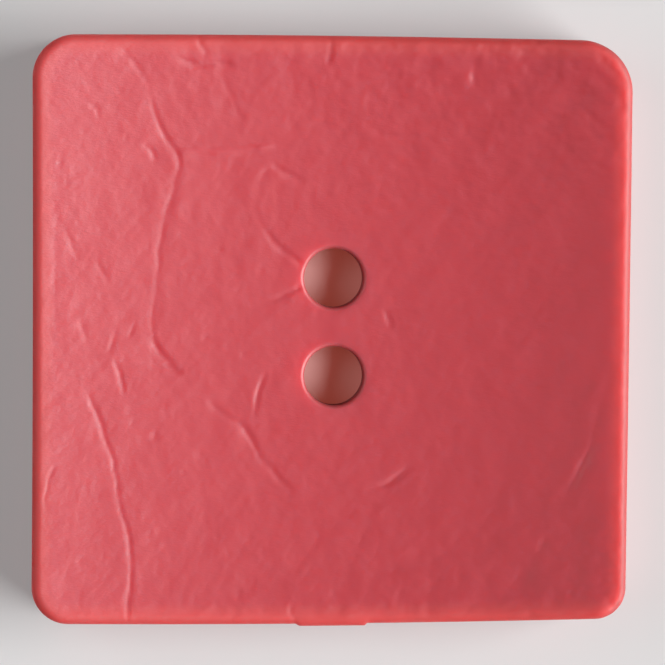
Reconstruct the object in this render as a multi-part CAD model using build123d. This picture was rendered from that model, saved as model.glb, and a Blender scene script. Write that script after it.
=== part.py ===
from build123d import *
import math
import os

# A large square sewing button, moulded in one piece: a dished face that carries the creases of
# crumpled leather, a flat back, rounded edges and two holes for the thread.
# Sizes are in millimetres. The button lies on its back, face up. X runs across the face, Y runs up
# the face along the line of the holes, and Z stands out of it. The origin is the centre of the back.

os.makedirs("parts", exist_ok=True)

# Outline: a square that came a little out of true from the mould. Each corner, before it is rounded,
# lies in from the corner of a true rectangle, across and up, and three of the sides bow outwards.
FACE_WIDTH = 45.0
FACE_HEIGHT = 44.2
TOP_LEFT_INSET = (0.2, 0.05)
TOP_RIGHT_INSET = (0.1, 0.5)
BOTTOM_RIGHT_INSET = (0.6, 0.55)
BOTTOM_LEFT_INSET = (0.0, 0.35)
TOP_BOW = 0.25
RIGHT_BOW = 0.27
BOTTOM_BOW = 0.42
TOP_LEFT_RADIUS = 2.8
TOP_RIGHT_RADIUS = 3.4
BOTTOM_RIGHT_RADIUS = 2.2
BOTTOM_LEFT_RADIUS = 2.7

# Section
CENTRE_THICKNESS = 2.3
DISH_RADIUS = 110.0
RIM_BEVEL = 0.42       # taken off both sides of the rim's edge
RIM_BREAK = 0.12       # taken off the two edges that this leaves, so that the rim is nearly round
BACK_ROUND = 0.8
WALL_LEAN = 0.01       # a face whose normal rises less than this is an upright wall

# Thread holes
HOLE_DIAMETER = 4.45
HOLE_SPACING = 7.4
HOLE_LIP_ROUND = 0.3
HOLE_BACK_CHAMFER = 0.3
HOLES_SET_RIGHT = 0.2
HOLES_SET_UP = 0.2

# Gate mark: the low pad left on the lower side where the button was broken from its runner
GATE_LENGTH = 5.3
GATE_TALL = 1.6
GATE_STAND = 0.2
GATE_ROOT = 0.4
GATE_ROUND = 0.12

# Creases are cut by a V whose point follows a route along the face.
RUN_OUT = -0.06        # depth at a stop where a crease has run out, so that the cutter clears the face
CUTTER_RISE = 0.4      # height of the cutter over its point
HOLE_OVERRUN = 0.3     # how far a crease that meets a hole carries on past the hole's wall

# Each crease has the run of its flanks, which is how far each goes sideways for its depth, and the
# stops of its route. A stop is its place across and up the face, as shares of the half width and
# the half height, and the depth of the crease there.
CREASES = {
    "elbow_fold": (3.2, [
        (-0.71, 0.965, RUN_OUT), (-0.633, 0.872, 0.10), (-0.60, 0.787, 0.07), (-0.577, 0.709, 0.18),
        (-0.53, 0.621, 0.20), (-0.506, 0.55, 0.15), (-0.525, 0.46, 0.09), (-0.57, 0.26, 0.09),
        (-0.59, 0.11, 0.07), (-0.592, 0.0, 0.08), (-0.565, -0.08, 0.16), (-0.525, -0.12, 0.14),
        (-0.48, -0.15, RUN_OUT)]),
    "elbow_foot": (3.0, [
        (-0.69, -0.10, RUN_OUT), (-0.61, -0.115, 0.08), (-0.53, -0.14, 0.12), (-0.47, -0.155, RUN_OUT)]),
    "lower_fold": (3.0, [
        (-0.83, -0.20, RUN_OUT), (-0.775, -0.29, 0.12), (-0.74, -0.39, 0.16), (-0.71, -0.50, 0.14),
        (-0.70, -0.58, 0.10), (-0.67, -0.70, 0.15), (-0.665, -0.80, 0.13), (-0.68, -0.93, 0.14),
        (-0.685, -1.03, 0.14)]),
    "lower_branch": (2.8, [
        (-0.72, -0.115, RUN_OUT), (-0.70, -0.165, 0.10), (-0.69, -0.21, 0.12), (-0.68, -0.26, RUN_OUT)]),
    "left_scratch": (2.2, [
        (-0.925, -0.455, RUN_OUT), (-0.945, -0.52, 0.08), (-0.955, -0.58, 0.07),
        (-0.95, -0.645, RUN_OUT)]),
    "left_upper_tick": (2.5, [
        (-0.90, 0.36, RUN_OUT), (-0.875, 0.30, 0.07), (-0.845, 0.235, RUN_OUT)]),
    "left_middle_tick": (2.5, [
        (-0.79, 0.24, RUN_OUT), (-0.765, 0.19, 0.09), (-0.75, 0.14, RUN_OUT)]),
    "corner_hook": (2.5, [
        (-0.84, 0.78, RUN_OUT), (-0.80, 0.75, 0.09), (-0.775, 0.70, RUN_OUT)]),
    "top_fold": (2.8, [
        (-0.50, 0.93, RUN_OUT), (-0.44, 0.90, 0.10), (-0.39, 0.89, 0.09), (-0.33, 0.90, RUN_OUT)]),
    "top_fold_branch": (2.5, [
        (-0.35, 0.86, RUN_OUT), (-0.335, 0.79, 0.07), (-0.31, 0.73, 0.06), (-0.27, 0.67, RUN_OUT)]),
    "cross_fold": (3.0, [
        (-0.46, 0.615, RUN_OUT), (-0.38, 0.61, 0.05), (-0.28, 0.615, 0.09), (-0.20, 0.62, 0.07),
        (-0.15, 0.62, RUN_OUT)]),
    "upper_chevron": (2.5, [
        (-0.20, 0.55, RUN_OUT), (-0.15, 0.52, 0.10), (-0.10, 0.495, 0.08), (-0.05, 0.46, RUN_OUT)]),
    "centre_slash": (2.2, [
        (-0.215, -0.13, RUN_OUT), (-0.24, -0.20, 0.12), (-0.25, -0.26, 0.10), (-0.265, -0.33, RUN_OUT)]),
    "long_wrinkle": (3.0, [
        (-0.42, -0.235, RUN_OUT), (-0.35, -0.29, 0.08), (-0.27, -0.34, 0.14), (-0.23, -0.41, 0.08),
        (-0.18, -0.49, 0.06), (-0.145, -0.545, 0.10), (-0.12, -0.59, RUN_OUT)]),
    "right_slash": (2.5, [
        (0.11, -0.555, RUN_OUT), (0.18, -0.525, 0.09), (0.225, -0.485, 0.13), (0.29, -0.465, RUN_OUT)]),
    "right_edge_slash": (2.5, [
        (0.89, -0.39, RUN_OUT), (0.855, -0.46, 0.09), (0.82, -0.52, 0.10), (0.775, -0.60, RUN_OUT)]),
    "right_corner_tick": (2.5, [
        (0.73, -0.70, RUN_OUT), (0.71, -0.745, 0.07), (0.69, -0.79, RUN_OUT)]),
    "top_nick": (2.2, [
        (-0.005, 1.02, 0.10), (0.0, 0.95, 0.12), (-0.01, 0.88, RUN_OUT)]),
    "top_left_nick": (2.5, [
        (-0.445, 1.02, 0.10), (-0.42, 0.96, 0.08), (-0.40, 0.92, RUN_OUT)]),
    "top_right_tick": (2.2, [
        (0.475, 0.90, RUN_OUT), (0.485, 0.845, 0.11), (0.50, 0.79, RUN_OUT)]),
    "right_upper_wrinkle": (2.8, [
        (0.82, 0.77, RUN_OUT), (0.865, 0.72, 0.08), (0.91, 0.69, 0.07), (0.95, 0.67, RUN_OUT)]),
    "right_upper_tick": (2.5, [
        (0.87, 0.565, RUN_OUT), (0.915, 0.545, 0.09), (0.97, 0.535, RUN_OUT)]),
    "upper_right_dash": (2.5, [
        (0.10, 0.68, RUN_OUT), (0.20, 0.66, 0.06), (0.26, 0.65, 0.08), (0.32, 0.645, RUN_OUT)]),
    "beside_hole_tick": (2.2, [
        (0.17, 0.075, RUN_OUT), (0.19, 0.035, 0.10), (0.20, -0.01, RUN_OUT)]),
    "upper_left_scratch": (2.5, [
        (-0.65, 0.63, RUN_OUT), (-0.605, 0.605, 0.06), (-0.57, 0.55, RUN_OUT)]),
    "left_lower_tick": (2.5, [
        (-0.705, 0.0, RUN_OUT), (-0.73, -0.045, 0.07), (-0.75, -0.095, RUN_OUT)]),
    "left_bow": (2.5, [
        (-0.64, 0.035, RUN_OUT), (-0.665, -0.01, 0.06), (-0.68, -0.05, RUN_OUT)]),
    "left_edge_tick": (2.5, [
        (-0.84, 0.05, RUN_OUT), (-0.825, 0.0, 0.06), (-0.805, -0.05, RUN_OUT)]),
}

# Creases that run into the upper hole. After the stops come the angle round the hole, counted from
# +X, at which the crease meets its wall, and the depth there.
HOLE_CREASES = {
    "hole_fold": (2.8, [
        (-0.20, 0.55, RUN_OUT), (-0.235, 0.48, 0.07), (-0.245, 0.38, 0.05), (-0.215, 0.31, 0.09),
        (-0.16, 0.255, 0.13), (-0.115, 0.22, 0.13)], 158, 0.10),
    "hole_fold_low": (2.8, [
        (-0.27, 0.085, RUN_OUT), (-0.21, 0.095, 0.08), (-0.15, 0.115, 0.12)], 200, 0.10),
}

# Pits in the left half of the face, which are dents of a ball. Each has its place as shares of the
# half sizes, its radius across the face and its depth.
PITS = {
    "upper_pit": (-0.37, 0.267, 0.35, 0.06),
    "elbow_pit": (-0.42, -0.031, 0.40, 0.07),
    "beside_hole_pit": (-0.294, -0.085, 0.30, 0.06),
    "lower_pit": (-0.586, -0.366, 0.45, 0.07),
}


def face_height(across, up):
    """Height over the back of the dished face before it is creased."""
    return CENTRE_THICKNESS + DISH_RADIUS - math.sqrt(DISH_RADIUS**2 - across**2 - up**2)


def corner(side_x, side_y, inset):
    """A corner of the outline before it is rounded. The sides are 1 or -1."""
    return side_x * (FACE_WIDTH / 2 - inset[0]), side_y * (FACE_HEIGHT / 2 - inset[1])


def outline():
    """The button seen from above: a straight left side, three bowed sides and four round corners."""
    top_left = corner(-1, 1, TOP_LEFT_INSET)
    top_right = corner(1, 1, TOP_RIGHT_INSET)
    bottom_right = corner(1, -1, BOTTOM_RIGHT_INSET)
    bottom_left = corner(-1, -1, BOTTOM_LEFT_INSET)
    shape = make_face([
        Line(bottom_left, top_left),
        SagittaArc(top_left, top_right, TOP_BOW),
        SagittaArc(top_right, bottom_right, RIGHT_BOW),
        SagittaArc(bottom_right, bottom_left, BOTTOM_BOW),
    ])
    rounds = [
        (top_left, TOP_LEFT_RADIUS),
        (top_right, TOP_RIGHT_RADIUS),
        (bottom_right, BOTTOM_RIGHT_RADIUS),
        (bottom_left, BOTTOM_LEFT_RADIUS),
    ]
    for place, radius in rounds:
        vertex = shape.vertices().sort_by_distance(place)[0]
        shape = fillet(vertex, radius)
    return shape


def back_face(body):
    """The flat face that the button lies on."""
    return body.faces().sort_by(Axis.Z)[0]


def dish_edges(body):
    """The edges all round the dished face."""
    return body.faces().filter_by(GeomType.SPHERE)[0].edges()


def wall_tops(body):
    """The upper edge of each upright wall."""
    walls = body.faces().filter_by(lambda face: abs(face.normal_at().Z) < WALL_LEAN)
    return [wall.edges().sort_by(Axis.Z)[-1] for wall in walls]


def blank():
    """The dished body with its rim and its back edge rounded, before the holes are cut."""
    corner_height = face_height(FACE_WIDTH / 2, FACE_HEIGHT / 2)
    dish = Pos(0, 0, CENTRE_THICKNESS + DISH_RADIUS) * Rot(90, 0, 0) * Sphere(DISH_RADIUS)
    body = extrude(outline(), amount=corner_height) - dish
    body = chamfer(dish_edges(body), RIM_BEVEL)
    body = chamfer(dish_edges(body), RIM_BREAK)
    body = chamfer(wall_tops(body), RIM_BREAK)
    return fillet(back_face(body).edges(), BACK_ROUND)


def gate_mark():
    """The pad halfway up the lower side, its root sunk in the wall so that the two fuse."""
    lower_side = -FACE_HEIGHT / 2
    side_height = face_height(0, lower_side)
    thickness = GATE_STAND + GATE_ROOT
    pad = Box(GATE_LENGTH, thickness, GATE_TALL)
    outer_face = pad.faces().sort_by(Axis.Y)[0]
    pad = fillet(outer_face.edges(), GATE_ROUND)
    return Pos(0, lower_side - GATE_STAND + thickness / 2, side_height / 2) * pad


def hole_place(side):
    """Centre of a thread hole: side is 1 for the upper hole and -1 for the lower one."""
    return HOLES_SET_RIGHT, HOLES_SET_UP + side * HOLE_SPACING / 2


def drilled(body, side):
    """The body with one thread hole, its lip rounded at the face and bevelled at the back."""
    across, up = hole_place(side)
    depth = face_height(across, up)
    body = body - Pos(across, up, depth / 2) * Cylinder(HOLE_DIAMETER / 2, 2 * depth)
    wall = body.faces().sort_by_distance((across, up, depth / 2))[0]
    lips = wall.edges().filter_by(GeomType.LINE, reverse=True).sort_by(Axis.Z)
    body = fillet(lips[-1], HOLE_LIP_ROUND)
    back_lip = back_face(body).edges().sort_by_distance((across, up, 0))[0]
    return chamfer(back_lip, HOLE_BACK_CHAMFER)


def hole_stop(angle, depth):
    """Stop of a crease just inside the upper hole, at an angle counted from +X."""
    across, up = hole_place(1)
    reach = HOLE_DIAMETER / 2 - HOLE_OVERRUN
    across += reach * math.cos(math.radians(angle))
    up += reach * math.sin(math.radians(angle))
    return across / (FACE_WIDTH / 2), up / (FACE_HEIGHT / 2), depth


def crease_cutter(flank_run, stops):
    """A V-shaped cutter that dips into the face along its route and runs out at its ends."""
    dish_centre = Vector(0, 0, CENTRE_THICKNESS + DISH_RADIUS)
    half_opening = flank_run * CUTTER_RISE
    section = make_face(Polyline(
        (0, 0), (half_opening, CUTTER_RISE), (-half_opening, CUTTER_RISE), close=True))
    route = []
    for across_share, up_share, depth in stops:
        across = across_share * FACE_WIDTH / 2
        up = up_share * FACE_HEIGHT / 2
        route.append(Vector(across, up, face_height(across, up) - depth))
    sections = []
    for index, point in enumerate(route):
        heading = route[min(index + 1, len(route) - 1)] - route[max(index - 1, 0)]
        sideways = (dish_centre - point).cross(heading)
        sections.append(Plane(origin=point, x_dir=sideways, z_dir=heading) * section)
    return loft(sections, ruled=True)


def pit_cutter(across_share, up_share, radius, depth):
    """A ball sunk in the face so far that it leaves a dent of the given radius and depth."""
    across = across_share * FACE_WIDTH / 2
    up = up_share * FACE_HEIGHT / 2
    ball_radius = (radius**2 + depth**2) / (2 * depth)
    return Pos(across, up, face_height(across, up) - depth + ball_radius) * Sphere(ball_radius)


button = blank() + gate_mark()
button = drilled(button, 1)
button = drilled(button, -1)
cutters = [crease_cutter(flank_run, stops) for flank_run, stops in CREASES.values()]
for flank_run, stops, angle, depth in HOLE_CREASES.values():
    cutters.append(crease_cutter(flank_run, stops + [hole_stop(angle, depth)]))
cutters += [pit_cutter(*pit) for pit in PITS.values()]
button = button - cutters
button.label = "button"

export_step(button, "parts/button.step")
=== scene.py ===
import math

import bmesh
import bpy
import numpy as np
from mathutils import Euler, Matrix, Vector, noise


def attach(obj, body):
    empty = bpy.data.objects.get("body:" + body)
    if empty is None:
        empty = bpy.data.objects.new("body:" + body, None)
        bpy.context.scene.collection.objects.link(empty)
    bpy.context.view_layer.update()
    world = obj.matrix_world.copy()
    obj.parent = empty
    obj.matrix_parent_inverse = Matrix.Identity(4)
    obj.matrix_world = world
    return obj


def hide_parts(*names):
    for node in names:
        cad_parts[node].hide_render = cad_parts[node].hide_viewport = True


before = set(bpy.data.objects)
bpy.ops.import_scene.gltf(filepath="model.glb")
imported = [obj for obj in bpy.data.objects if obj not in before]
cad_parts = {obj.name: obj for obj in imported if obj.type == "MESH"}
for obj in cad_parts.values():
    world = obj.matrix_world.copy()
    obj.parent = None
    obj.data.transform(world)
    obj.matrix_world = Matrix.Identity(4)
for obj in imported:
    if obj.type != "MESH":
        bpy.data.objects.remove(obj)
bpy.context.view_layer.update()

# A large square sewing button in coral plastic, moulded in one piece with the creases of crumpled
# leather on its dished face. Sizes are in millimetres and become metres when the mesh is finished.
MM = 0.001

# Outline: the corners before they are rounded, clockwise from the upper left, with the radius of
# each, and how far the middle of each side stands out of its chord.
HALF_WIDTH = 22.5
HALF_HEIGHT = 22.1
TOP_LEFT = Vector((-22.3, 22.05))
TOP_RIGHT = Vector((22.4, 21.6))
BOTTOM_RIGHT = Vector((21.9, -21.55))
BOTTOM_LEFT = Vector((-22.5, -21.75))
TOP_LEFT_RADIUS = 3.2
TOP_RIGHT_RADIUS = 3.8
BOTTOM_RIGHT_RADIUS = 2.2
BOTTOM_LEFT_RADIUS = 2.7
TOP_SIDE = (TOP_LEFT, TOP_RIGHT, 0.25)
RIGHT_SIDE = (TOP_RIGHT, BOTTOM_RIGHT, 0.27)
BOTTOM_SIDE = (BOTTOM_RIGHT, BOTTOM_LEFT, 0.42)
LEFT_SIDE = (BOTTOM_LEFT, TOP_LEFT, 0.0)

CENTRE_THICKNESS = 2.3
DISH_RADIUS = 110.0
RIM_INSET = 0.72       # where the rim's round leaves the face, in from the wall
BACK_ROUND = 0.8

HOLE_RADIUS = 2.225
HOLE_SPACING = 7.4
HOLES_SET_RIGHT = 0.2
HOLES_SET_UP = 0.2
LIP_ROUND = 0.3
BACK_LIP_ROUND = 0.3

GATE_HALF_LENGTH = 2.65
GATE_DROP = 0.8        # how far below the wall's middle the gate mark begins
GATE_STAND = 0.17      # how far it stands out

# Camera: it looks down on the face, a little from the upper left.
IMAGE_SIZE = 665
CAMERA_DISTANCE = 300.0
CAMERA_TURN = (math.radians(-2.0), math.radians(-2.5), 0)
CAMERA_AIM = Vector((0.04, -0.155, 4.0))
PIXELS_PER_MM = 13.33
SENSOR_MM = 36.0

# Mesh of the face
COLUMNS = 260
ROWS = 240
LEFT_COLUMN_SHARE = 0.68   # width of the first column at the left, as a share of the mean
HOLE_BLOCK = 3.1           # half the side of the square patch that is cut out round a hole
CORNER_ZONE = 6.0          # how far in from a corner its round pulls the mesh
CORNER_FADE = 3            # power by which that pull dies away inwards
PATCH_RINGS = 5
LIP_STEPS = 5
HOLE_WALL_RINGS = 7
RIM_STEPS = 7
BACK_STEPS = 4
BACK_BORDER = 0.8
# Heights of the wall's rings as shares of the way down. The gate mark's lower edge lies between two
# close ones.
WALL_STOPS = (0.12, 0.227, 0.267, 0.51, 0.753, 0.793, 0.9, 1)
GATE_EDGE = 0.12           # run of the gate mark's ends and lower edge
ROUTE_STEP = 0.1           # distance between points along a crease

# Leather relief: lumps of this size and depth at the left edge, with finer ones on them, each half
# as wide as the last. It is deeper by these shares at the right edge and in the corners there.
LEATHER_SIZE = 3.4
LEATHER_DEPTH = 0.025
LEATHER_TOP = 0.04         # none stands higher than this
LEATHER_FADE = 0.5
LEATHER_NARROWING = 2
LEATHER_LAYERS = 5
LEATHER_RIGHT = 0.8
LEATHER_CORNER = 3.0

# The creases wander a little from their routes and run deeper and shallower along them.
WANDER = 0.10
WANDER_SIZE = 1.1
WANDER_STEP = Vector((0, 0, 7.5))    # from the noise for the moves across to that for the moves up
BREAK_SHARE = 0.5
BREAK_SIZE = 1.4

# Plastic: a satin skin over a body that lets some light through. The edges are duller, with a painted
# glow of that light on the rim, and painted shade in the holes and on the rim where it turns down to the
# right.
CORAL = (0.76, 0.041, 0.070, 1)
PAINTED_GLOW_RED = (0.80, 0.020, 0.010, 1)   # painted glow of the light that comes through at the rim
PAINTED_GLOW_REACH = 1.6                     # how far in from the outline the painted glow shows
PAINTED_GLOW_DEPTH = 2.5                     # how far down the wall the painted glow shows
PAINTED_SHADE_RED = (0.34, 0.006, 0.006, 1)   # painted shade in the holes, and on the rim where it turns down to the right
RIM_SHADE = 0.8                      # share of that painted shade on the rim
BACK_TURN = -0.5                     # a normal whose rise is less than this is the back's
FACE_ROUGHNESS = 0.47
EDGE_ROUGHNESS = 0.85
FACE_COAT = 0.85
EDGE_COAT = 0.1
COAT_ROUGHNESS = 0.42
COAT_IOR = 1.6
BODY_IOR = 1.7
BODY_SPECULAR = 1.0
LIGHT_REACH = 2.2                    # how deep light goes into the plastic
COLOUR_REACH = (1.0, 0.08, 0.08)     # shares of that depth for red, green and blue

# Fibrous grain: fine slanting streaks that fade over the left third of the face
GRAIN_SCALE = 2600
GRAIN_DETAIL = 4
GRAIN_ROUGHNESS = 0.65
GRAIN_TURN = math.radians(35)
GRAIN_STRETCH = 2.6
GRAIN_RIGHT = 0.45                   # share of their strength that is left from there on
GRAIN_STRENGTH = 0.6
GRAIN_DEPTH = 0.05

FLOOR_COLOUR = (0.61, 0.60, 0.60, 1)
FLOOR_ROUGHNESS = 0.9
FLOOR_SPECULAR = 0.1
FLOOR_HEIGHT = -0.01       # just clear of the flat back
FLOOR_PAINTED_SHADE = (0.62, 0.46, 0.44, 1)   # painted red shade under the button, seen through the holes
FLOOR_LIFT = 0.18          # added brightness of the floor where the camera sees it
FLOOR_PAINTED_RED_GLOW = (0.95, 0.14, 0.08, 1)     # colour of that added brightness under the button: a painted red glow
FLOOR_HALF_SIZE = 400
WHITE = (1, 1, 1, 1)

# Sockets of a Mix node that mixes colours
MIX_SHARE = 0
MIX_FIRST = 6
MIX_SECOND = 7
MIX_RESULT = 2

# Lamps: azimuth from the right of the face, elevation, distance, width, height and power
RIGHT_LAMP = (-10, 29, 1500, 1500, 800, 39.5)
LEFT_LAMP = (168, 35, 1000, 800, 300, 1.9)
WORLD_STRENGTH = 0.05

# Creases of the face. Each has the run of its flank on the right hand of its route, which faces the
# light, the run of the other flank, and the stops of its route: the pixel of the photograph, across
# and down, and the depth there. A negative depth is a ridge.
CREASES = {
    "elbow_fold": (0.5, 0.38, [
        (118, 43, 0), (124, 50, 0.035), (130, 57, 0.04), (141, 72, 0.035), (149, 87, 0.015),
        (151, 97, 0.01), (154, 108, 0.04), (158, 120, 0.065), (163, 132, 0.075), (169, 142, 0.08),
        (175, 150, 0.08), (178, 158, 0.07), (179, 166, 0.05), (176, 178, 0.02), (174, 188, 0.01),
        (170, 202, 0.005), (165, 218, 0.01), (160, 248, 0.035), (158, 268, 0.03), (155, 295, 0.01),
        (152, 320, 0.01), (153, 338, 0.02), (157, 348, 0.05), (163, 356, 0.06), (170, 362, 0.045),
        (176, 369, 0)]),
    "elbow_slope": (1.3, 0.9, [
        (178, 172, 0), (174, 188, 0.035), (170, 202, 0.04), (165, 218, 0.035), (160, 245, 0.015),
        (158, 262, 0)]),
    "elbow_lower_slope": (1.0, 0.8, [
        (158, 275, 0), (155, 295, 0.025), (152, 320, 0.03), (153, 340, 0)]),
    "elbow_foot_slope": (2.2, 0.4, [
        (150, 336, 0), (157, 347, 0.08), (163, 355, 0.08), (172, 363, 0)]),
    "elbow_foot": (0.45, 0.45, [
        (184, 372, 0), (176, 371, 0.08), (168, 367, 0.09), (158, 365, 0.07), (146, 363, 0.04),
        (134, 360, 0)]),
    "lower_fold": (0.45, 0.34, [
        (86, 388, 0), (90, 398, 0.045), (96, 410, 0.06), (101, 425, 0.065), (106, 440, 0.065),
        (112, 455, 0.06), (115, 470, 0.055), (118, 485, 0.045), (119, 500, 0.035), (122, 512, 0.045),
        (126, 525, 0.06), (129, 538, 0.065), (130, 552, 0.055), (131, 565, 0.05), (131, 580, 0.05),
        (129, 595, 0.055), (128, 612, 0.055), (128, 626, 0.045)]),
    "lower_branch": (0.4, 0.32, [
        (114, 358, 0), (116, 364, 0.05), (119, 372, 0.06), (122, 384, 0.06), (125, 396, 0)]),
    "left_scratch": (0.3, 0.3, [
        (55, 464, 0), (54, 468, 0.03), (50, 476, 0.04), (47, 488, 0.04), (45, 498, 0.035),
        (46, 505, 0.03), (49, 514, 0)]),
    "centre_slash": (0.35, 0.35, [
        (265, 372, 0), (264, 376, 0.05), (259, 390, 0.08), (256, 404, 0.07), (253, 418, 0)]),
    "long_wrinkle": (0.5, 0.45, [
        (207, 400, 0), (211, 403, 0.04), (222, 413, 0.06), (231, 419, 0.05), (240, 425, 0.06),
        (249, 435, 0.07), (256, 448, 0.05), (262, 460, 0.04), (272, 470, 0.06), (280, 479, 0.07),
        (288, 488, 0.04), (292, 496, 0)]),
    "long_wrinkle_slope": (1.6, 0.4, [
        (236, 416, 0), (245, 427, 0.05), (252, 440, 0.045), (256, 450, 0)]),
    "right_slash": (0.5, 0.45, [
        (412, 467, 0), (406, 470, 0.07), (398, 476, 0.11), (388, 484, 0.12), (376, 487, 0.07),
        (362, 490, 0)]),
    "right_edge_slash": (0.6, 0.5, [
        (600, 400, 0), (596, 420, 0.04), (592, 440, 0.06), (588, 455, 0.08), (582, 466, 0.10),
        (575, 480, 0.10), (566, 497, 0)]),
    "right_corner_tick": (0.45, 0.45, [
        (547, 536, 0), (545, 541, 0.07), (541, 549, 0.07), (537, 558, 0)]),
    "upper_chevron": (0.45, 0.4, [
        (272, 166, 0), (276, 168, 0.08), (285, 173, 0.09), (295, 177, 0.08), (306, 184, 0)]),
    "hole_fold": (0.5, 0.45, [
        (270, 167, 0), (267, 171, 0.03), (262, 178, 0.025), (259, 186, 0.015), (257, 200, 0.005),
        (258, 216, 0.01), (262, 228, 0.02), (266, 232, 0.04), (274, 242, 0.07), (284, 251, 0.08),
        (293, 258, 0.08), (301, 264, 0.07), (308, 269, 0.04)]),
    "hole_fold_low": (0.5, 0.45, [
        (310, 285, 0.04), (302, 288, 0.07), (292, 291, 0.07), (283, 296, 0.06), (272, 300, 0.04),
        (256, 303, 0)]),
    "cross_ridge": (0.4, 0.4, [
        (176, 152, 0), (184, 151, -0.05), (200, 151, -0.07), (220, 151, -0.08), (240, 151, -0.06),
        (252, 149, -0.08), (268, 147, -0.08), (276, 146, 0)]),
    "top_fold": (0.45, 0.4, [
        (176, 56, 0), (183, 60, 0.09), (195, 64, 0.13), (205, 65, 0.13), (215, 63, 0.11),
        (228, 64, 0.11), (236, 66, 0)]),
    "top_fold_branch": (0.4, 0.35, [
        (220, 76, 0), (224, 82, 0.02), (232, 96, 0.025), (236, 108, 0.03), (245, 122, 0)]),
    "top_left_nick": (0.45, 0.35, [(198, 33, 0.05), (200, 42, 0.08), (204, 48, 0.08), (208, 56, 0)]),
    "top_nick": (0.4, 0.35, [
        (331, 33, 0.05), (331, 45, 0.08), (331, 53, 0.08), (329, 60, 0.06), (326, 68, 0)]),
    "top_right_tick": (0.4, 0.35, [(473, 70, 0), (474, 75, 0.08), (476, 82, 0.08), (478, 93, 0)]),
    "upper_right_dash": (0.35, 0.35, [
        (374, 133, 0), (380, 134, 0.03), (392, 136, 0.04), (404, 136, 0.05), (414, 134, 0)]),
    "right_upper_wrinkle": (0.5, 0.5, [
        (574, 102, 0), (580, 107, 0.06), (590, 117, 0.08), (598, 123, 0.08), (606, 128, 0.05),
        (614, 132, 0)]),
    "right_upper_tick": (0.35, 0.35, [(594, 165, 0), (600, 166, 0.05), (608, 170, 0.05), (614, 173, 0)]),
    "beside_hole_tick": (0.4, 0.35, [(385, 308, 0), (387, 315, 0.08), (389, 322, 0.08), (391, 330, 0)]),
    "corner_hook": (0.4, 0.35, [
        (84, 98, 0), (90, 104, 0.05), (96, 109, 0.05), (99, 115, 0.03), (97, 121, 0)]),
    "left_upper_tick": (0.4, 0.35, [
        (64, 226, 0), (67, 232, 0.02), (72, 245, 0.03), (77, 258, 0.02), (79, 264, 0)]),
    "left_middle_tick": (0.45, 0.38, [(95, 256, 0), (99, 264, 0.03), (103, 273, 0.04), (107, 283, 0)]),
    "left_lower_tick": (0.4, 0.35, [(117, 332, 0), (114, 340, 0.04), (110, 348, 0.04), (107, 354, 0)]),
    "left_bow": (0.4, 0.35, [(137, 322, 0), (133, 328, 0.03), (131, 334, 0.03), (128, 340, 0)]),
    "left_edge_tick": (0.4, 0.35, [(80, 318, 0), (82, 326, 0.03), (85, 335, 0.03), (88, 340, 0)]),
    "left_edge_low_tick": (0.4, 0.35, [(76, 343, 0), (79, 350, 0.03), (84, 358, 0)]),
    "upper_left_scratch": (0.45, 0.4, [
        (142, 145, 0), (148, 148, 0.06), (153, 153, 0.07), (157, 164, 0)]),
    "left_rim_slope": (1.1, 0.9, [
        (58, 180, 0), (56, 210, 0.015), (55, 240, 0.02), (55, 300, 0.02), (56, 330, 0.015),
        (60, 352, 0)]),
    "gate_curl": (0.35, 0.3, [(296, 600, 0), (292, 605, 0.05), (291, 611, 0.06), (295, 618, 0.04)]),
}

# Small round pits: the pixel of the photograph, across and down, the radius and the depth.
PITS = [
    (220, 250, 0.35, 0.03), (205, 338, 0.40, 0.035), (155, 437, 0.45, 0.04), (243, 354, 0.30, 0.03),
    (132, 423, 0.25, 0.03), (183, 472, 0.25, 0.03), (217, 537, 0.25, 0.025), (361, 538, 0.25, 0.03),
    (377, 551, 0.25, 0.025), (103, 557, 0.25, 0.025), (80, 561, 0.25, 0.02), (250, 540, 0.40, 0.03),
    (262, 552, 0.40, 0.02), (150, 533, 0.30, 0.02), (467, 334, 0.35, 0.02), (572, 358, 0.35, 0.02),
    (475, 484, 0.30, 0.02), (448, 277, 0.25, -0.02), (555, 452, 0.25, -0.02), (288, 379, 0.15, -0.05),
    (60, 163, 0.35, 0.03), (67, 185, 0.30, 0.02), (126, 137, 0.30, 0.02), (133, 250, 0.25, 0.02),
]


def dish_height(across, up):
    """Height over the back of the face before it is creased."""
    return CENTRE_THICKNESS + DISH_RADIUS - math.sqrt(DISH_RADIUS**2 - across**2 - up**2)


def camera_frame():
    """Turn and place of the camera, in millimetres."""
    turn = Euler(CAMERA_TURN, "XYZ").to_matrix()
    return turn, CAMERA_AIM + turn @ Vector((0, 0, CAMERA_DISTANCE))


def face_point(column, row):
    """Where the face lies behind a pixel of the photograph."""
    turn, eye = camera_frame()
    focal = PIXELS_PER_MM * CAMERA_DISTANCE
    middle = IMAGE_SIZE / 2
    sight = turn @ Vector(((column - middle) / focal, (middle - row) / focal, -1)).normalized()
    out = eye - Vector((0, 0, CENTRE_THICKNESS + DISH_RADIUS))
    along = sight.dot(out)
    reach = math.sqrt(along**2 - out.length_squared + DISH_RADIUS**2) - along
    return eye + sight * reach


def corner_radius(across, up):
    """Radius of the outline's corner in the quarter of the face that a point lies in."""
    if up > 0:
        return TOP_LEFT_RADIUS if across < 0 else TOP_RIGHT_RADIUS
    return BOTTOM_LEFT_RADIUS if across < 0 else BOTTOM_RIGHT_RADIUS


def side_at(side, spot):
    """Distance in from a side, and the direction straight out of it, at a point."""
    start, end, bow = side
    chord = end - start
    length = chord.length
    along = chord / length
    outward = Vector((-along.y, along.x))
    offset = spot - start
    share = 2 * offset.dot(along) / length - 1
    slope = -4 * bow * share / length
    steepness = math.hypot(1, slope)
    distance = (bow * (1 - share**2) - offset.dot(outward)) / steepness
    return distance, (outward - along * slope) / steepness


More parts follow.
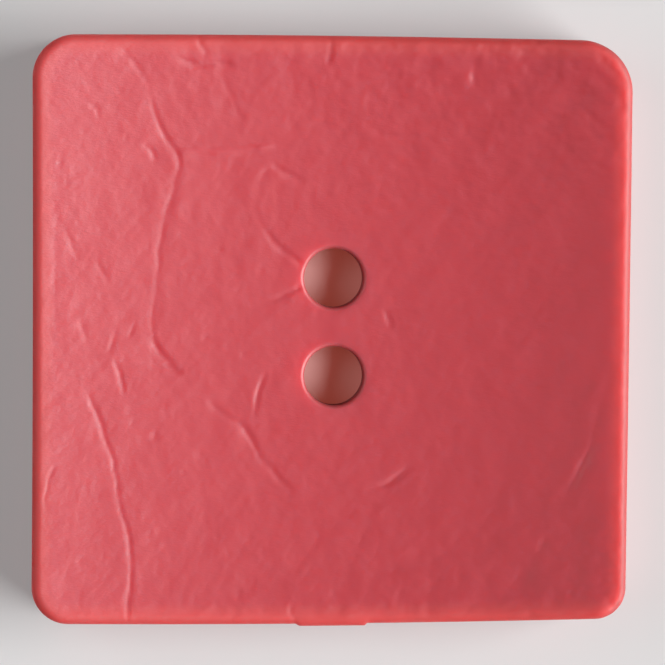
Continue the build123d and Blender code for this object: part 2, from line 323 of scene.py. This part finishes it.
def near_sides(spot):
    """The upright side and the level side nearest to a point: distance and direction out of each."""
    upright = side_at(RIGHT_SIDE if spot.x > 0 else LEFT_SIDE, spot)
    level = side_at(TOP_SIDE if spot.y > 0 else BOTTOM_SIDE, spot)
    return upright, level


def outline_at(across, up):
    """Distance in from the outline, and the direction straight out of it, at a point near it."""
    radius = corner_radius(across, up)
    (inset_x, out_x), (inset_y, out_y) = near_sides(Vector((across, up)))
    if inset_x < radius and inset_y < radius:
        past = math.hypot(radius - inset_x, radius - inset_y)
        out = out_x * (radius - inset_x) + out_y * (radius - inset_y)
        return radius - past, out.normalized()
    if inset_x < inset_y:
        return inset_x, out_x
    return inset_y, out_y


def squeeze_corner(vert):
    """Pulls the square corner of the face's mesh in to the round of the outline."""
    (inset_x, out_x), (inset_y, out_y) = near_sides(vert.co.xy)
    across = CORNER_ZONE + RIM_INSET - inset_x
    up = CORNER_ZONE + RIM_INSET - inset_y
    if across <= 0 or up <= 0:
        return
    reach = max(across, up)
    border = Vector((across, up)) * (CORNER_ZONE / reach)
    radius = corner_radius(vert.co.x, vert.co.y) - RIM_INSET
    centre = Vector((CORNER_ZONE - radius, CORNER_ZONE - radius))
    past = border - centre
    if min(past) <= 0 or past.length <= radius:
        return
    pull = (centre + past.normalized() * radius - border) * (reach / CORNER_ZONE) ** CORNER_FADE
    shift = out_x * pull.x + out_y * pull.y
    vert.co.x += shift.x
    vert.co.y += shift.y


def between(share, low, high):
    """Value at a share of the way from low to high."""
    return low + (high - low) * share


def bow_sides(vert):
    """Moves a vertex of the straight-sided face so that its sides bow like the outline's."""
    share_x = 0.5 + vert.co.x / (2 * HALF_WIDTH)
    share_y = 0.5 + vert.co.y / (2 * HALF_HEIGHT)
    half_width = HALF_WIDTH - RIM_INSET
    half_height = HALF_HEIGHT - RIM_INSET
    left = -half_width - side_at(LEFT_SIDE, Vector((-HALF_WIDTH, vert.co.y)))[0]
    right = half_width + side_at(RIGHT_SIDE, Vector((HALF_WIDTH, vert.co.y)))[0]
    bottom = -half_height - side_at(BOTTOM_SIDE, Vector((vert.co.x, -HALF_HEIGHT)))[0]
    top = half_height + side_at(TOP_SIDE, Vector((vert.co.x, HALF_HEIGHT)))[0]
    vert.co.x = between(share_x, left, right)
    vert.co.y = between(share_y, bottom, top)


def face_mesh():
    """The face as a fine grid, closer at the left, in the rounded outline. Gives the holes' rings."""
    bm = bmesh.new()
    bmesh.ops.create_grid(bm, x_segments=COLUMNS, y_segments=ROWS, size=0.5)
    for vert in bm.verts:
        share = vert.co.x + 0.5
        share *= LEFT_COLUMN_SHARE + (1 - LEFT_COLUMN_SHARE) * share
        vert.co.x = (2 * share - 1) * HALF_WIDTH
        vert.co.y *= 2 * HALF_HEIGHT
    blocks = [cut_block(bm, hole_centre(side)) for side in (1, -1)]
    for vert in bm.verts:
        bow_sides(vert)
    for vert in bm.verts:
        squeeze_corner(vert)
        vert.co.z = dish_height(vert.co.x, vert.co.y)
    return bm, blocks


def extrude_ring(bm, edges, place):
    """Extrudes a closed ring of edges and puts each new vertex where place says. Gives the new ring."""
    made = bmesh.ops.extrude_edge_only(bm, edges=edges)["geom"]
    for vert in (part for part in made if isinstance(part, bmesh.types.BMVert)):
        vert.co = place(vert.co)
    return [part for part in made if isinstance(part, bmesh.types.BMEdge)]


def hole_centre(side):
    """Centre of a thread hole: side is 1 for the upper hole and -1 for the lower one."""
    return Vector((HOLES_SET_RIGHT, HOLES_SET_UP + side * HOLE_SPACING / 2))


def cut_block(bm, centre):
    """Removes the square patch round a hole's centre and gives the ring of edges that it leaves."""
    patch = []
    for face in bm.faces:
        offset = face.calc_center_median().xy - centre
        if max(abs(offset.x), abs(offset.y)) < HOLE_BLOCK:
            patch.append(face)
    inside = set(patch)
    border = []
    for face in patch:
        border += [edge for edge in face.edges if not inside.issuperset(edge.link_faces)]
    bmesh.ops.delete(bm, geom=patch, context="FACES")
    return border


def sink_hole(bm, ring, centre):
    """Opens a thread hole through to the back: a rounded lip, the wall and a rounded back lip."""
    lip_radius = HOLE_RADIUS + LIP_ROUND

    def on_circle(co, radius, drop):
        out = (co.xy - centre).normalized()
        lip = centre + out * lip_radius
        spot = centre + out * radius
        return Vector((spot.x, spot.y, dish_height(lip.x, lip.y) - drop))

    for step in range(PATCH_RINGS):
        share = 1 / (PATCH_RINGS - step)

        def nearer(co):
            offset = co.xy - centre
            length = offset.length + (lip_radius - offset.length) * share
            spot = centre + offset.normalized() * length
            return Vector((spot.x, spot.y, dish_height(spot.x, spot.y)))

        ring = extrude_ring(bm, ring, nearer)
    for step in range(1, LIP_STEPS + 1):
        turn = math.radians(90) * step / LIP_STEPS
        radius = lip_radius - LIP_ROUND * math.sin(turn)
        drop = LIP_ROUND * (1 - math.cos(turn))
        ring = extrude_ring(bm, ring, lambda co: on_circle(co, radius, drop))
    for step in range(1, HOLE_WALL_RINGS + 1):
        share = step / HOLE_WALL_RINGS

        def down(co):
            spot = on_circle(co, HOLE_RADIUS, LIP_ROUND)
            spot.z += (BACK_LIP_ROUND - spot.z) * share
            return spot

        ring = extrude_ring(bm, ring, down)
    for step in range(1, LIP_STEPS + 1):
        turn = math.radians(90) * step / LIP_STEPS
        radius = HOLE_RADIUS + BACK_LIP_ROUND * (1 - math.cos(turn))
        height = BACK_LIP_ROUND * (1 - math.sin(turn))
        ring = extrude_ring(bm, ring, lambda co: at_height(on_circle(co, radius, 0), height))
    flat_radius = HOLE_RADIUS + BACK_LIP_ROUND + BACK_BORDER
    return extrude_ring(bm, ring, lambda co: at_height(on_circle(co, flat_radius, 0), 0))


def at_height(spot, height):
    """The same point at another height."""
    return Vector((spot.x, spot.y, height))


def rim_point(co, turned):
    """Point of the rim's round beyond a vertex, from 0 at the face to 1 at the wall."""
    inset, out = outline_at(co.x, co.y)
    start = co.xy + out * (inset - RIM_INSET)
    rise = math.atan(start.dot(out) / math.sqrt(DISH_RADIUS**2 - start.length_squared))
    radius = RIM_INSET / (1 + math.sin(rise))
    angle = (math.radians(90) + rise) * (1 - turned)
    spot = start + out * (radius * (math.sin(rise) + math.cos(angle)))
    height = dish_height(start.x, start.y) + radius * (math.sin(angle) - math.cos(rise))
    return Vector((spot.x, spot.y, height))


def wall_point(co, share):
    """Point of the upright wall below a vertex, from 0 at its top to 1 at the back's round."""
    spot = rim_point(co, 1)
    spot.z += (BACK_ROUND - spot.z) * share
    return spot


def back_point(co, inset, height):
    """Point at a distance in from the outline, beside a vertex."""
    now, out = outline_at(co.x, co.y)
    spot = co.xy + out * (now - inset)
    return Vector((spot.x, spot.y, height))


def wrap_edge(bm, ring):
    """Carries the border of the face over the rim, down the wall and round on to the back."""
    for step in range(1, RIM_STEPS + 1):
        ring = extrude_ring(bm, ring, lambda co: rim_point(co, step / RIM_STEPS))
    for share in WALL_STOPS:
        ring = extrude_ring(bm, ring, lambda co: wall_point(co, share))
    for step in range(1, BACK_STEPS + 1):
        turn = math.radians(90) * step / BACK_STEPS
        inset = BACK_ROUND * (1 - math.cos(turn))
        height = BACK_ROUND * (1 - math.sin(turn))
        ring = extrude_ring(bm, ring, lambda co: back_point(co, inset, height))
    return extrude_ring(bm, ring, lambda co: back_point(co, BACK_ROUND + BACK_BORDER, 0))


def button_mesh():
    """The whole button before it is creased: face, rim, wall, back and holes as one closed skin."""
    bm, blocks = face_mesh()
    inner = {edge for block in blocks for edge in block}
    outer = [edge for edge in bm.edges if edge.is_boundary and edge not in inner]
    rings = wrap_edge(bm, outer)
    for block, side in zip(blocks, (1, -1)):
        rings += sink_hole(bm, block, hole_centre(side))
    bmesh.ops.triangle_fill(bm, edges=rings, use_beauty=True, normal=(0, 0, -1))
    bmesh.ops.recalc_face_normals(bm, faces=bm.faces)
    for face in bm.faces:
        face.smooth = True
    mesh = bpy.data.meshes.new("button_skin")
    bm.to_mesh(mesh)
    bm.free()
    return mesh


def smooth_route(stops):
    """Close points and depths along a smooth curve through a crease's stops."""
    knots = []
    for column, row, depth in stops:
        spot = face_point(column, row)
        knots.append((spot.x, spot.y, depth))
    knots = np.array([knots[0]] + knots + [knots[-1]])
    points = []
    for first, start, end, last in zip(knots, knots[1:], knots[2:], knots[3:]):
        count = max(2, int(np.hypot(*(end - start)[:2]) / ROUTE_STEP))
        for t in np.linspace(0, 1, count, endpoint=False):
            points.append(0.5 * (
                2 * start + (end - first) * t
                + (2 * first - 5 * start + 4 * end - last) * t**2
                + (3 * start - first - 3 * end + last) * t**3))
    points.append(knots[-1])
    return np.array(points)


def crease_relief(places, lit_run, shaded_run, stops):
    """How far one crease lowers the face at each place."""
    route = smooth_route(stops)
    reach = max(lit_run, shaded_run)
    low_corner = route[:, :2].min(0) - reach
    high_corner = route[:, :2].max(0) + reach
    near = np.flatnonzero(((places > low_corner) & (places < high_corner)).all(1))
    relief = np.zeros(len(places))
    if len(near) == 0:
        return relief
    gaps = places[near, None, :] - route[None, :, :2]
    distances = np.hypot(gaps[..., 0], gaps[..., 1])
    nearest = distances.argmin(1)
    rows = np.arange(len(near))
    heading = np.gradient(route[:, :2], axis=0)[nearest]
    gap = gaps[rows, nearest]
    on_left = heading[:, 0] * gap[:, 1] - heading[:, 1] * gap[:, 0] > 0
    run = np.where(on_left, shaded_run, lit_run)
    flank = np.clip(1 - distances[rows, nearest] / run, 0, 1) ** 2
    relief[near] = -route[nearest, 2] * flank
    return relief


def pit_relief(places):
    """How far the small pits lower the face at each place."""
    relief = np.zeros(len(places))
    for column, row, radius, depth in PITS:
        spot = face_point(column, row)
        share = np.hypot(places[:, 0] - spot.x, places[:, 1] - spot.y) / radius
        relief -= depth * np.clip(1 - share**2, 0, 1) ** 2
    return relief


def leather_relief(places):
    """Uneven leather surface of the face."""
    layers = (LEATHER_FADE, LEATHER_NARROWING, LEATHER_LAYERS)
    relief = np.array([
        noise.fractal(Vector((across, up, 0)) / LEATHER_SIZE, *layers) for across, up in places])
    right = 0.5 + places[:, 0] / (2 * HALF_WIDTH)
    corner = np.clip(2 * np.abs(places[:, 1]) / HALF_HEIGHT - 1, 0, 1)
    strength = 1 + (LEATHER_RIGHT + LEATHER_CORNER * corner) * right**2
    return np.minimum(LEATHER_DEPTH * relief * strength, LEATHER_TOP)


def wandered(places):
    """The places moved a little this way and that, so that the creases on them wander."""
    moves = []
    for across, up in places:
        spot = Vector((across, up, 0)) / WANDER_SIZE
        moves.append((noise.noise(spot), noise.noise(spot + WANDER_STEP)))
    return places + WANDER * np.array(moves)


def crease_strength(places):
    """Share of its depth that a crease has at each place."""
    waves = [noise.noise(Vector((across, up, BREAK_SIZE)) / BREAK_SIZE) for across, up in places]
    return 1 + BREAK_SHARE * np.array(waves)


def gate_relief(points, normals):
    """How far the gate mark stands out of the lower wall at each point. It fades out over the rim."""
    middle = dish_height(0, HALF_HEIGHT) / 2
    along = np.clip((GATE_HALF_LENGTH - np.abs(points[:, 0])) / GATE_EDGE, 0, 1)
    above = np.clip((points[:, 2] + GATE_DROP - middle) / GATE_EDGE, 0, 1)
    low_side = points[:, 1] < 2 * RIM_INSET - HALF_HEIGHT
    return GATE_STAND * along * above * low_side * np.clip(-normals[:, 1], 0, 1)


def depths_below(points):
    """How far each point lies below the face before it is creased."""
    return np.array([dish_height(across, up) for across, up in points[:, :2]]) - points[:, 2]


def painted_glow_share(points):
    """Share of the painted glow at each point: how near it lies to the rim, 1 on it, fading down the
    wall.
    """
    insets = np.array([outline_at(across, up)[0] for across, up in points[:, :2]])
    return np.clip(1 - insets / PAINTED_GLOW_REACH, 0, 1) * np.clip(1 - depths_below(points) / PAINTED_GLOW_DEPTH, 0, 1)


def hole_shade(points, clear):
    """1 in the thread holes, fading out over their lips, to nothing at a distance clear of the walls."""
    shade = np.zeros(len(points))
    for side in (1, -1):
        centre = hole_centre(side)
        past = np.hypot(points[:, 0] - centre.x, points[:, 1] - centre.y) - HOLE_RADIUS
        shade = np.maximum(shade, np.clip(1 - past / clear, 0, 1))
    return shade


def painted_shade_share(points, normals):
    """Share of painted shade at each point: the holes, and the rim where it turns down to the right."""
    insets = np.array([outline_at(across, up)[0] for across, up in points[:, :2]])
    over_rim = np.clip(2 - 2 * insets / RIM_INSET, 0, 1)
    to_right = np.clip(2 * normals[:, 0], 0, 1)
    in_holes = hole_shade(points, LIP_ROUND) * (normals[:, 2] > BACK_TURN)
    return np.maximum(RIM_SHADE * over_rim * to_right, in_holes)


def crease_mesh(mesh):
    """Works the creases, pits, leather and gate mark into the smooth skin."""
    count = len(mesh.vertices)
    points = np.empty(count * 3)
    normals = np.empty(count * 3)
    mesh.vertices.foreach_get("co", points)
    mesh.vertices.foreach_get("normal", normals)
    points = points.reshape(-1, 3)
    normals = normals.reshape(-1, 3)
    face = np.flatnonzero(normals[:, 2] > 0)
    places = points[face, :2]
    uneven = wandered(places)
    creases = np.zeros(len(places))
    for lit_run, shaded_run, stops in CREASES.values():
        creases += crease_relief(uneven, lit_run, shaded_run, stops)
    relief = leather_relief(places) + pit_relief(places) + creases * crease_strength(places)
    relief *= normals[face, 2] * (1 - hole_shade(points[face], 2 * LIP_ROUND))
    moved = points.copy()
    moved[face] += normals[face] * relief[:, None]
    moved[:, 1] -= gate_relief(points, normals)
    mesh.vertices.foreach_set("co", (moved * MM).ravel())
    mesh.update()
    # Shares kept on the points: 'edge' is the painted glow of light through the rim, the other is
    # painted shade.
    for name, values in (("edge", painted_glow_share(points)), ("painted_shade", painted_shade_share(points, normals))):
        mesh.attributes.new(name, "FLOAT", "POINT").data.foreach_set("value", values)


def mix_colours(nodes, first, second):
    """Node that mixes two colours by a share."""
    mix = nodes.new("ShaderNodeMix")
    mix.data_type = "RGBA"
    mix.inputs[MIX_FIRST].default_value = first
    mix.inputs[MIX_SECOND].default_value = second
    return mix


def work_out(nodes, operation, second=0):
    """Node that does sums, with its second number."""
    sums = nodes.new("ShaderNodeMath")
    sums.operation = operation
    sums.inputs[1].default_value = second
    return sums


def read_attribute(nodes, name):
    """Output of a share that is kept on the mesh's points."""
    reader = nodes.new("ShaderNodeAttribute")
    reader.attribute_name = name
    return reader.outputs["Fac"]


def paint_rim_glow_and_shade(nodes, links, shader):
    """Colours the rim with a painted glow and the holes and right-turning rim with painted shade, and
    dulls them.
    """
    # 'edge' is the share of painted glow on the rim; the other share is painted shade.
    edge = read_attribute(nodes, "edge")
    painted_shade = read_attribute(nodes, "painted_shade")
    painted_glow_mix = mix_colours(nodes, CORAL, PAINTED_GLOW_RED)
    links.new(edge, painted_glow_mix.inputs[MIX_SHARE])
    shaded = mix_colours(nodes, CORAL, PAINTED_SHADE_RED)
    links.new(painted_shade, shaded.inputs[MIX_SHARE])
    links.new(painted_glow_mix.outputs[MIX_RESULT], shaded.inputs[MIX_FIRST])
    links.new(shaded.outputs[MIX_RESULT], shader.inputs["Base Color"])
    dull = work_out(nodes, "MAXIMUM")
    links.new(edge, dull.inputs[0])
    links.new(painted_shade, dull.inputs[1])
    ranges = {"Roughness": (FACE_ROUGHNESS, EDGE_ROUGHNESS), "Coat Weight": (FACE_COAT, EDGE_COAT)}
    for socket, (on_face, on_edge) in ranges.items():
        change = nodes.new("ShaderNodeMapRange")
        change.inputs["To Min"].default_value = on_face
        change.inputs["To Max"].default_value = on_edge
        links.new(dull.outputs["Value"], change.inputs["Value"])
        links.new(change.outputs["Result"], shader.inputs[socket])


def lay_grain(nodes, links, shader):
    """Fine slanting streaks as a bump, strongest at the left edge."""
    place = nodes.new("ShaderNodeTexCoord")
    stretch = nodes.new("ShaderNodeMapping")
    stretch.inputs["Rotation"].default_value = (0, 0, GRAIN_TURN)
    stretch.inputs["Scale"].default_value = (1, GRAIN_STRETCH, 1)
    links.new(place.outputs["Object"], stretch.inputs["Vector"])
    fibre = nodes.new("ShaderNodeTexNoise")
    fibre.inputs["Scale"].default_value = GRAIN_SCALE
    fibre.inputs["Detail"].default_value = GRAIN_DETAIL
    fibre.inputs["Roughness"].default_value = GRAIN_ROUGHNESS
    links.new(stretch.outputs["Vector"], fibre.inputs["Vector"])
    across = nodes.new("ShaderNodeSeparateXYZ")
    links.new(place.outputs["Object"], across.inputs["Vector"])
    fade = nodes.new("ShaderNodeMapRange")
    fade.inputs["From Min"].default_value = -HALF_WIDTH * MM
    fade.inputs["From Max"].default_value = -HALF_WIDTH * MM / 3
    fade.inputs["To Min"].default_value = 1
    fade.inputs["To Max"].default_value = GRAIN_RIGHT
    links.new(across.outputs["X"], fade.inputs["Value"])
    faded = work_out(nodes, "MULTIPLY")
    links.new(fibre.outputs["Fac"], faded.inputs[0])
    links.new(fade.outputs["Result"], faded.inputs[1])
    bump = nodes.new("ShaderNodeBump")
    bump.inputs["Strength"].default_value = GRAIN_STRENGTH
    bump.inputs["Distance"].default_value = GRAIN_DEPTH * MM
    links.new(faded.outputs["Value"], bump.inputs["Height"])
    links.new(bump.outputs["Normal"], shader.inputs["Normal"])


def plastic_material():
    """Coral plastic with a satin skin that lets some light through, and a fine fibrous grain."""
    material = bpy.data.materials.new("coral_plastic")
    material.use_nodes = True
    nodes = material.node_tree.nodes
    links = material.node_tree.links
    shader = nodes["Principled BSDF"]
    shader.inputs["IOR"].default_value = BODY_IOR
    shader.inputs["Specular IOR Level"].default_value = BODY_SPECULAR
    shader.inputs["Coat Roughness"].default_value = COAT_ROUGHNESS
    shader.inputs["Coat IOR"].default_value = COAT_IOR
    shader.inputs["Subsurface Weight"].default_value = 1
    shader.inputs["Subsurface Radius"].default_value = COLOUR_REACH
    shader.inputs["Subsurface Scale"].default_value = LIGHT_REACH * MM
    paint_rim_glow_and_shade(nodes, links, shader)
    lay_grain(nodes, links, shader)
    return material


def button_piece():
    """The button's skin with its finish, standing for the solid button."""
    mesh = button_mesh()
    crease_mesh(mesh)
    piece = bpy.data.objects.new("creased_button", mesh)
    bpy.context.scene.collection.objects.link(piece)
    mesh.materials.append(plastic_material())
    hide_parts("button")
    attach(piece, "root")


def floor_material():
    """Plain pale floor, with painted red shade and a painted red glow under the button, where it shows
    through the holes.
    """
    material = bpy.data.materials.new("pale_floor")
    material.use_nodes = True
    nodes = material.node_tree.nodes
    links = material.node_tree.links
    shader = nodes["Principled BSDF"]
    shader.inputs["Roughness"].default_value = FLOOR_ROUGHNESS
    shader.inputs["Specular IOR Level"].default_value = FLOOR_SPECULAR
    place = nodes.new("ShaderNodeTexCoord")
    length = nodes.new("ShaderNodeVectorMath")
    length.operation = "LENGTH"
    links.new(place.outputs["Object"], length.inputs["Vector"])
    beside = work_out(nodes, "GREATER_THAN", HALF_HEIGHT * MM / 2)
    links.new(length.outputs["Value"], beside.inputs[0])
    # Under the button the floor gets painted red shade in its colour and a painted red glow in its lift.
    for socket, under, open_floor in (
            ("Base Color", FLOOR_PAINTED_SHADE, FLOOR_COLOUR),
            ("Emission Color", FLOOR_PAINTED_RED_GLOW, WHITE)):
        colour = mix_colours(nodes, under, open_floor)
        links.new(beside.outputs["Value"], colour.inputs[MIX_SHARE])
        links.new(colour.outputs[MIX_RESULT], shader.inputs[socket])
    seen = nodes.new("ShaderNodeLightPath")
    lift = work_out(nodes, "MULTIPLY", FLOOR_LIFT)
    links.new(seen.outputs["Is Camera Ray"], lift.inputs[0])
    links.new(lift.outputs["Value"], shader.inputs["Emission Strength"])
    return material


def floor_piece():
    """Floor that the button lies on."""
    bm = bmesh.new()
    bmesh.ops.create_grid(bm, x_segments=1, y_segments=1, size=FLOOR_HALF_SIZE * MM)
    bmesh.ops.translate(bm, verts=bm.verts, vec=(0, 0, FLOOR_HEIGHT * MM))
    mesh = bpy.data.meshes.new("floor")
    bm.to_mesh(mesh)
    bm.free()
    floor = bpy.data.objects.new("floor", mesh)
    bpy.context.scene.collection.objects.link(floor)
    mesh.materials.append(floor_material())


def soft_lamp(name, azimuth, elevation, distance, width, height, power):
    """A wide soft lamp that faces the button. Azimuth is counted from the right of the face."""
    light = bpy.data.lights.new(name, "AREA")
    light.shape = "RECTANGLE"
    light.size = width * MM
    light.size_y = height * MM
    light.energy = power
    lamp = bpy.data.objects.new(name, light)
    bpy.context.scene.collection.objects.link(lamp)
    azimuth = math.radians(azimuth)
    elevation = math.radians(elevation)
    out = Vector((
        math.cos(azimuth) * math.cos(elevation),
        math.sin(azimuth) * math.cos(elevation),
        math.sin(elevation)))
    lamp.location = out * distance * MM
    lamp.rotation_euler = out.to_track_quat("Z", "Y").to_euler()


def place_camera():
    """Camera at the photograph's view of the face."""
    turn, eye = camera_frame()
    data = bpy.data.cameras.new("camera")
    data.sensor_width = SENSOR_MM
    data.lens = PIXELS_PER_MM * CAMERA_DISTANCE / IMAGE_SIZE * SENSOR_MM
    data.clip_start = CAMERA_DISTANCE * MM / 10
    camera = bpy.data.objects.new("camera", data)
    bpy.context.scene.collection.objects.link(camera)
    camera.matrix_world = Matrix.Translation(eye * MM) @ turn.to_4x4()
    bpy.context.scene.camera = camera


def set_world():
    """Faint even light from all round."""
    world = bpy.data.worlds.new("studio")
    world.use_nodes = True
    background = world.node_tree.nodes["Background"]
    background.inputs["Color"].default_value = WHITE
    background.inputs["Strength"].default_value = WORLD_STRENGTH
    bpy.context.scene.world = world


bpy.context.scene.view_settings.view_transform = "Standard"
button_piece()
floor_piece()
soft_lamp("right_lamp", *RIGHT_LAMP)
soft_lamp("left_lamp", *LEFT_LAMP)
set_world()
place_camera()
